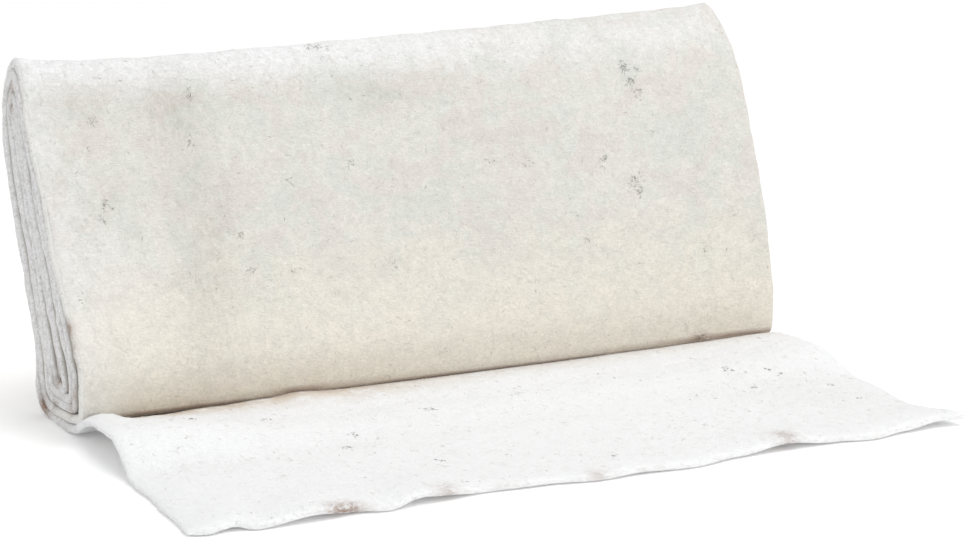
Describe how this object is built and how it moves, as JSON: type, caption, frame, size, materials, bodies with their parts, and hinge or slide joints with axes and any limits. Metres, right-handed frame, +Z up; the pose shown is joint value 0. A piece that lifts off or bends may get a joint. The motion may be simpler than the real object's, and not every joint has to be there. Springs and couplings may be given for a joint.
{
  "type": "roll of felt",
  "caption": "Roll of thick off-white felt, wound flat and leaning back on its edge, with the loose end laid out flat in front.",
  "frame": {"origin": "bottom centre of the whole form's box, on the surface that it rests on", "axes": "+X along the roll, across the felt's width; -Y towards the front, where the loose end lies; +Z up"},
  "size_m": [0.6186, 0.422, 0.275],
  "materials": {
    "felt": "matt, fibrous off-white felt with a greyer cut edge"
  },
  "bodies": {
    "root": {"felt": "felt"}
  },
  "joints": []
}
